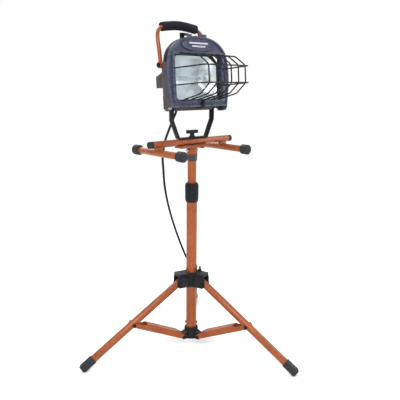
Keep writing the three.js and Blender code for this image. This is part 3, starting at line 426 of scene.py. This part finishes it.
# Tie. A woven hook-and-loop strap that holds the hank to the upper tube: a flat band with
# a bound edge, closed on itself by an overlapping tongue.
weave, weave_in, weave_out = new_group(
    "strap_weave",
    [("Colour", COLOUR, (0.02, 0.02, 0.02, 1)), ("Thread Colour", COLOUR, (0.05, 0.05, 0.05, 1)),
     ("Threads", FLOAT, 500.0)],
    [("Colour", COLOUR), ("Height", FLOAT)])
weave_place = node(weave, "ShaderNodeTexCoord")
warp = node(weave, "ShaderNodeTexWave", bands_direction="Z")
weft = node(weave, "ShaderNodeTexWave", bands_direction="DIAGONAL")
for threads in (warp, weft):
    weave.links.new(weave_place.outputs["Object"], threads.inputs["Vector"])
    weave.links.new(weave_in.outputs["Threads"], threads.inputs["Scale"])
    threads.inputs["Distortion"].default_value = 0.6
crossing = maths(weave, "MULTIPLY", warp.outputs["Fac"], weft.outputs["Fac"])
weave.links.new(mix_colour(weave, crossing, weave_in.outputs["Colour"], weave_in.outputs["Thread Colour"]),
                weave_out.inputs["Colour"])
weave.links.new(crossing, weave_out.inputs["Height"])
strap_cloth = bpy.data.materials.new("strap_cloth")
strap_cloth.use_nodes = True
cloth_tree = strap_cloth.node_tree
cloth_shader = cloth_tree.nodes["Principled BSDF"]
woven = node(cloth_tree, "ShaderNodeGroup", node_tree=weave)
woven.inputs["Threads"].default_value = 420
cloth_relief = node(cloth_tree, "ShaderNodeBump")
cloth_relief.inputs["Strength"].default_value = 0.5
cloth_relief.inputs["Distance"].default_value = 0.0004
cloth_tree.links.new(woven.outputs["Colour"], cloth_shader.inputs["Base Color"])
cloth_tree.links.new(woven.outputs["Height"], cloth_relief.inputs["Height"])
cloth_tree.links.new(cloth_relief.outputs["Normal"], cloth_shader.inputs["Normal"])
cloth_shader.inputs["Roughness"].default_value = 0.9
cloth_shader.inputs["Sheen Weight"].default_value = 0.3
tie = copy_of("cord_tie", "hank_tie", strap_cloth, bevel=0.0006)

# Tubes of the stand. Thin steel tube, powder coated a copper orange: mast, crossbar, foot tubes,
# legs, pressed braces and the bracket on top of the mast, rubbed at their cut ends.
copper_coat = finish("copper_coat", (0.30, 0.072, 0.02), (0.17, 0.038, 0.012), (0.42, 0.24, 0.13),
                     0.33, 1100, 0.12, cloud_amount=0.7, edge_wear=0.3, dust=0.05, metallic=0.25, coat=0.0,
                     specular=0.3)
coated = ["lower_tube", "upper_tube", "mast_plate", "crossbar", "foot_left", "foot_right"]
for side in ("front", "rear", "left"):
    coated += ["leg_" + side, "brace_" + side]
for name in coated:
    copy_of(name, name + "_coated", copper_coat, bevel=0.0004)

# Rivets. Domed black heads over the leg and brace pivots, and the pin across the lower tube.
black_metal = finish("black_metal", (0.006, 0.006, 0.007), (0.013, 0.013, 0.014), (0.12, 0.11, 0.1),
                     0.42, 800, 0.2, edge_wear=0.25, dust=0.03, specular=0.12)
copy_of("hub_pin", "hub_pin_black", black_metal, bevel=0.0006)


def domed_head(name, radius, height, rounding, material, slot_width=0.0):
    """A flat-based round head with a domed top, standing on the origin; a screw's has a driver slot."""
    bpy.ops.object.select_all(action="DESELECT")
    bpy.ops.mesh.primitive_cylinder_add(vertices=24, radius=radius * MM, depth=height * MM,
                                        location=(0, 0, height / 2 * MM))
    head = bpy.context.object
    head.name = name
    bpy.ops.object.transform_apply(location=True, rotation=True, scale=True)
    top = height * MM * 0.99
    for edge in head.data.edges:
        edge.select = all(head.data.vertices[corner].co.z > top for corner in edge.vertices)
    bpy.ops.object.mode_set(mode="EDIT")
    bpy.ops.mesh.bevel(offset=rounding * MM, segments=5, affect="EDGES")
    bpy.ops.object.mode_set(mode="OBJECT")
    if slot_width:
        bpy.ops.mesh.primitive_cube_add(size=1, location=(0, 0, height * MM),
                                        scale=(radius * 1.5 * MM, slot_width * MM, height * MM))
        blade = bpy.context.object
        slot_cut = head.modifiers.new("slot", "BOOLEAN")
        slot_cut.operation = "DIFFERENCE"
        slot_cut.object = blade
        bpy.context.view_layer.objects.active = head
        bpy.ops.object.modifier_apply(modifier=slot_cut.name)
        bpy.data.objects.remove(blade)
    head.data.materials.append(material)
    bpy.ops.object.select_all(action="DESELECT")
    bpy.context.view_layer.objects.active = head
    head.select_set(True)
    bpy.ops.object.shade_smooth_by_angle(angle=math.radians(35))
    return head


def set_down(form, name, spot, facing, body, slot):
    """A copy of a form with its own mesh, stood at a spot and facing a way."""
    piece = bpy.data.objects.new(name, form.data.copy())
    bpy.context.collection.objects.link(piece)
    turned = facing.to_track_quat("Z", "Y").to_matrix().to_4x4()
    piece.data.transform(Matrix.Translation(spot) @ turned)
    return belongs(piece, body, slot)


rivet_form = domed_head("rivet_form", 5.6, 3.6, 2.3, black_metal)
LEG_PIVOT = (48, 207.5)
LEG_RIVET_REACH = 14.9
BRACE_PIVOT = (30, 35.7)
BRACE_TIP = (192.76, 110.9)
BRACE_RIVET_REACH = 13.3
for side, angle in (("front", -73.8), ("rear", 46.2), ("left", 166.2)):
    out = Vector((math.cos(math.radians(angle)), math.sin(math.radians(angle)), 0))
    across = Vector((-out.y, out.x, 0))
    for number, (part, pivot, reach) in enumerate((("leg", LEG_PIVOT, LEG_RIVET_REACH),
                                                   ("brace", BRACE_PIVOT, BRACE_RIVET_REACH),
                                                   ("brace", BRACE_TIP, BRACE_RIVET_REACH))):
        for end in (-1, 1):
            spot = place(*(out * pivot[0] + across * end * reach).xy, pivot[1])
            set_down(rivet_form, "%s_rivet_%d_%d" % (side, number, end), spot, across * end,
                     "%s_%s_body" % (part, side), "black_steel")
bpy.data.objects.remove(rivet_form)

# Mouldings. Glass-filled nylon, fine-textured black: both hubs, the collar with its fluted ring,
# the release lever and the bush at the bottom of the sliding tube.
black_nylon = finish("black_nylon", (0.007, 0.0075, 0.009), (0.014, 0.0145, 0.017), (0.08, 0.08, 0.085),
                     0.5, 1300, 0.35, edge_wear=0.2, dust=0.06, specular=0.14)
for name in ("upper_hub", "lower_hub", "collar_base", "collar_ring", "lock_lever", "bushing", "gland"):
    copy_of(name, name + "_moulding", black_nylon, bevel=0.0009, segments=3)

# Caps and plugs. Dull dark grey rubber cups on the legs and foot tubes, and plugs in the crossbar.
cap_rubber = finish("cap_rubber", (0.022, 0.024, 0.027), (0.034, 0.037, 0.04), (0.07, 0.07, 0.07),
                    0.7, 1500, 0.3, edge_wear=0.15, dust=0.1, specular=0.15)
caps = ["leg_cap_" + side for side in ("front", "rear", "left")]
for side in ("left", "right"):
    caps += ["bar_plug_" + side, "foot_cap_" + side + "_front", "foot_cap_" + side + "_back"]
for name in caps:
    copy_of(name, name + "_rubber", cap_rubber, bevel=0.0014, segments=4)

# Yoke. One strip of black-coated steel bent into a cradle, with zinc-plated bolts.
zinc_steel = finish("zinc_steel", (0.42, 0.42, 0.43), (0.3, 0.3, 0.31), (0.6, 0.6, 0.6),
                    0.32, 700, 0.15, edge_wear=0.2, dust=0.1, metallic=0.9)
copy_of("yoke", "yoke_strap", black_metal, bevel=0.0007, segments=3)
for name in ("pivot_bolt", "cross_bolt"):
    copy_of(name, name + "_zinc", zinc_steel, bevel=0.0004)

# Knobs. Moulded black grips: the wing knob that clamps the yoke, and the lobed tilt knob.
for name in ("clamp_knob", "tilt_knob"):
    copy_of(name, name + "_grip", black_nylon, bevel=0.0014, segments=4)

# Housing. Cast aluminium body with its rear terminal box and slotted cover screws, in matt
# brown-grey enamel. The arched rim that carries the door's hinge has painted shade above the shoulder:
# there its side wall, which falls in shadow, takes the black finish.
grey_enamel = finish("grey_enamel", (0.055, 0.046, 0.05), (0.036, 0.03, 0.034), (0.17, 0.155, 0.15),
                     0.55, 700, 0.45, cloud_amount=0.6, edge_wear=0.25, dust=0.08, specular=0.22)
for name in ("housing", "junction_box", "box_cover"):
    copy_of(name, name + "_casting", grey_enamel, bevel=0.0012, segments=3, angle=28)
rim_casting = copy_of("housing_rim", "housing_rim_casting", grey_enamel, bevel=0.001, segments=2, angle=28)
# Painted shade: rim faces above this height on the head take the black finish, standing in for the side
# wall's shadow.
RIM_SHADE_FROM = 118
RIM_SHADE_EDGE = on_head(0, 0, RIM_SHADE_FROM)
UP_THE_HEAD = (on_head(0, 0, 1) - on_head(0, 0, 0)).normalized()
bpy.ops.object.select_all(action="DESELECT")
bpy.context.view_layer.objects.active = rim_casting
rim_casting.select_set(True)
bpy.ops.object.mode_set(mode="EDIT")
bpy.ops.mesh.select_all(action="SELECT")
bpy.ops.mesh.bisect(plane_co=RIM_SHADE_EDGE, plane_no=UP_THE_HEAD)
bpy.ops.object.mode_set(mode="OBJECT")
rim_casting.data.materials.append(black_metal)
for face in rim_casting.data.polygons:
    if (face.center - RIM_SHADE_EDGE).dot(UP_THE_HEAD) > 0:
        face.material_index = 1
COVER_FACE = 81.4
COVER_SCREW_X = 52
COVER_SCREW_HEIGHT = 72
cover_screw = domed_head("cover_screw", 3.9, 2.4, 1.2, zinc_steel, slot_width=0.9)
backwards = on_head(0, 1, 0) - on_head(0, 0, 0)
for number, x in enumerate((-COVER_SCREW_X, COVER_SCREW_X)):
    spot = on_head(x, COVER_FACE, COVER_SCREW_HEIGHT)
    set_down(cover_screw, "cover_screw_%d" % number, spot, backwards, "head", "zinc_steel")
bpy.data.objects.remove(cover_screw)

# Door. The cast front frame in blue-grey enamel with a raised lip round the arch, its oval
# plate with two plain raised bars, and the black spring clip that holds it shut.
slate_enamel = finish("slate_enamel", (0.036, 0.042, 0.08), (0.02, 0.024, 0.048), (0.2, 0.21, 0.26),
                      0.4, 600, 0.3, cloud_amount=0.6, edge_wear=0.3, dust=0.05, coat=0.05, specular=0.25)
copy_of("door_frame", "door_casting", slate_enamel, bevel=0.0012, segments=3, angle=28)
plate_enamel = finish("plate_enamel", (0.42, 0.43, 0.5), (0.33, 0.34, 0.42), (0.6, 0.6, 0.65),
                      0.35, 500, 0.1, edge_wear=0.3, dust=0.1, metallic=0.3)
copy_of("badge", "oval_plate", slate_enamel, bevel=0.0005, segments=3)
for number, (half, low, high) in enumerate(((34, 2, 6.5), (24, -6, -2))):
    bpy.ops.mesh.primitive_cube_add(size=1)
    bar = bpy.context.object
    bar.name = "plate_bar_%d" % number
    bar.scale = (half * 2 * MM, 1.2 * MM, (high - low) * MM)
    bar.rotation_euler = (HEAD_TILT, 0, 0)
    bar.location = on_head(0, -38.1, 163.5 + (low + high) / 2)
    bpy.ops.object.transform_apply(location=True, rotation=True, scale=True)
    rounding = bar.modifiers.new("rounding", "BEVEL")
    rounding.width = 0.5 * MM
    rounding.segments = 3
    bpy.ops.object.modifier_apply(modifier=rounding.name)
    bar.data.materials.append(plate_enamel)
    belongs(bar, "door", "slate_cast")
copy_of("latch", "door_clip", black_metal, bevel=0.0006)
gasket_rubber = finish("gasket_rubber", (0.02, 0.02, 0.022), (0.035, 0.035, 0.036), (0.05, 0.05, 0.05),
                       0.7, 1200, 0.2, edge_wear=0.0)
copy_of("gasket", "door_gasket", gasket_rubber)

# Window. Tempered clear glass with polished edges, held in the door against the gasket.
window_glass = bpy.data.materials.new("window_glass")
window_glass.use_nodes = True
glass_shader = window_glass.node_tree.nodes["Principled BSDF"]
glass_shader.inputs["Base Color"].default_value = (0.93, 0.97, 0.98, 1)
glass_shader.inputs["Roughness"].default_value = 0.02
glass_shader.inputs["Transmission Weight"].default_value = 1.0
glass_shader.inputs["IOR"].default_value = 1.2
copy_of("glass", "window", window_glass, bevel=0.0005)

# Reflector. Bright aluminium sheet with a hammered face, folded into a trough round the lamp.
bright_sheet = bpy.data.materials.new("bright_sheet")
bright_sheet.use_nodes = True
sheet_tree = bright_sheet.node_tree
sheet_shader = sheet_tree.nodes["Principled BSDF"]
sheet_shader.inputs["Base Color"].default_value = (0.9, 0.93, 0.95, 1)
sheet_shader.inputs["Metallic"].default_value = 0.85
sheet_shader.inputs["Roughness"].default_value = 0.28
sheet_place = node(sheet_tree, "ShaderNodeTexCoord")
hammer = node(sheet_tree, "ShaderNodeTexVoronoi", feature="SMOOTH_F1")
hammer.inputs["Scale"].default_value = 160
sheet_relief = node(sheet_tree, "ShaderNodeBump")
sheet_relief.inputs["Strength"].default_value = 0.6
sheet_relief.inputs["Distance"].default_value = 0.0008
sheet_tree.links.new(sheet_place.outputs["Object"], hammer.inputs["Vector"])
sheet_tree.links.new(hammer.outputs["Distance"], sheet_relief.inputs["Height"])
sheet_tree.links.new(sheet_relief.outputs["Normal"], sheet_shader.inputs["Normal"])
copy_of("reflector", "reflector_sheet", bright_sheet, bevel=0.0003, angle=50)

# Lamp. A double-ended quartz tube with flat pinched ends in two white ceramic holders, its
# wound filament, and the ceramic terminal block with four slotted screws.
quartz = bpy.data.materials.new("quartz")
quartz.use_nodes = True
quartz_shader = quartz.node_tree.nodes["Principled BSDF"]
quartz_shader.inputs["Base Color"].default_value = (0.8, 0.89, 0.97, 1)
quartz_shader.inputs["Roughness"].default_value = 0.05
quartz_shader.inputs["Transmission Weight"].default_value = 0.85
quartz_shader.inputs["IOR"].default_value = 1.3
copy_of("lamp_tube", "quartz_lamp", quartz, bevel=0.0008, segments=3)
white_ceramic = finish("white_ceramic", (0.78, 0.76, 0.72), (0.66, 0.64, 0.6), (0.85, 0.84, 0.8),
                       0.6, 900, 0.2, edge_wear=0.1, dust=0.1)
for name in ("socket_left", "socket_right", "terminal_block"):
    copy_of(name, name + "_ceramic", white_ceramic, bevel=0.0006)
FILAMENT_TURNS = 26
FILAMENT_LENGTH = 76
COIL_RADIUS = 1.3
LAMP_DEPTH = 2
LAMP_HEIGHT = 79
STEPS_A_TURN = 8
coil = []
for step in range(FILAMENT_TURNS * STEPS_A_TURN + 1):
    turn = 2 * math.pi * step / STEPS_A_TURN
    along = FILAMENT_LENGTH * (step / (FILAMENT_TURNS * STEPS_A_TURN) - 0.5)
    coil.append(on_head(along, LAMP_DEPTH + COIL_RADIUS * math.cos(turn),
                        LAMP_HEIGHT + COIL_RADIUS * math.sin(turn)))
filament = tube_along("filament", coil, 0.35 * MM, zinc_steel, sides=1)
belongs(filament, "head", "clear_glass")
terminal_screw = domed_head("terminal_screw", 2.4, 1.6, 0.6, zinc_steel, slot_width=0.6)
for number, x in enumerate((-12, -4, 4, 12)):
    set_down(terminal_screw, "terminal_screw_%d" % number, on_head(x, 70, 80), UP_THE_HEAD, "head",
             "zinc_steel")
bpy.data.objects.remove(terminal_screw)

# Guard. Welded black steel wire: six hoops bent over the window and two long wires across them.
GUARD_FRONT = -38.7
GUARD_NOSE = -144
WINDOW_HEIGHT = 79
WIRE_RADIUS = 1.9
guard_wires = []
hoop_side = [(GUARD_FRONT, 62), (-50, 59), (-109, 48.7), (GUARD_NOSE, 23), (GUARD_NOSE, -23), (-109, -48.7),
             (-50, -59), (GUARD_FRONT, -62)]


def rounded_bends(points, radius):
    """Cuts each corner of a bent wire into a short curve."""
    line = [points[0]]
    for before, corner, after in zip(points, points[1:], points[2:]):
        start = corner + (before - corner).normalized() * radius
        end = corner + (after - corner).normalized() * radius
        for step in range(5):
            t = step / 4
            line.append(start * (1 - t) ** 2 + corner * 2 * t * (1 - t) + end * t * t)
    line.append(points[-1])
    return line


for number, x in enumerate((-67, -40.2, -13.4, 13.4, 40.2, 67)):
    corners = [on_head(x, y, WINDOW_HEIGHT + rise) for y, rise in hoop_side]
    line = rounded_bends(corners, 7 * MM)
    guard_wires.append(tube_along("guard_hoop_%d" % number, line, WIRE_RADIUS * MM, black_metal, sides=3))
for number, rise in enumerate((-22, 22)):
    corners = [on_head(x, y, WINDOW_HEIGHT + rise)
               for x, y in ((-90, GUARD_FRONT), (-80, GUARD_NOSE), (80, GUARD_NOSE), (90, GUARD_FRONT))]
    line = rounded_bends(corners, 7 * MM)
    guard_wires.append(tube_along("guard_wire_%d" % number, line, WIRE_RADIUS * MM, black_metal, sides=3))
for wire in guard_wires:
    belongs(wire, "door", "black_steel", "guard")

# Handle. A bent steel rod in the same copper coat, screwed to the housing through flat eyes, with
# a soft black foam sleeve over its bar.
copy_of("handle_rod", "handle_rod_coated", copper_coat, bevel=0.0004, angle=50)
for name in ("handle_screw_left", "handle_screw_right"):
    copy_of(name, name + "_black", black_metal, bevel=0.0008, segments=3)
grip_foam = finish("grip_foam", (0.012, 0.0125, 0.018), (0.022, 0.023, 0.031), (0.04, 0.04, 0.05),
                   0.85, 2200, 0.7, cloud_amount=0.6, edge_wear=0.0, dust=0.06, specular=0.1)
copy_of("handle_grip", "foam_grip", grip_foam, bevel=0.0025, segments=4, angle=50)
